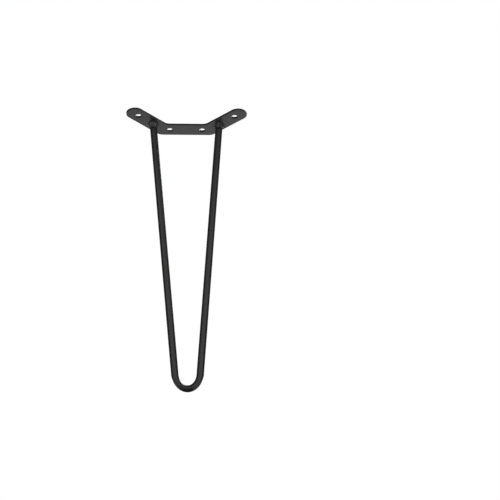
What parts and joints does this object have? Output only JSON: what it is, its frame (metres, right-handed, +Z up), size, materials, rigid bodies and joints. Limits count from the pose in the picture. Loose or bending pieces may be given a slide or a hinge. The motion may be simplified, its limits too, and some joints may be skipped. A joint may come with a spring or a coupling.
{
  "type": "hairpin table leg",
  "caption": "Hairpin leg of bent round bar welded to a flat winged mounting plate, to be screwed under a low table or bench top.",
  "frame": {"origin": "centre of the middle strip's top face, which lies against the underside of the table", "axes": "+Z up into the table top; X along the middle strip, hole to hole; the wings sweep back towards -Y and the foot leans out towards +Y, the corner of the table"},
  "size_m": [0.1692, 0.0856, 0.4],
  "materials": {
    "powder_coat": "satin black powder coat with a faint grain"
  },
  "bodies": {
    "root": {"mounting_plate": "powder_coat", "hairpin_rod": "powder_coat", "weld_left": "powder_coat", "weld_right": "powder_coat"}
  },
  "joints": []
}
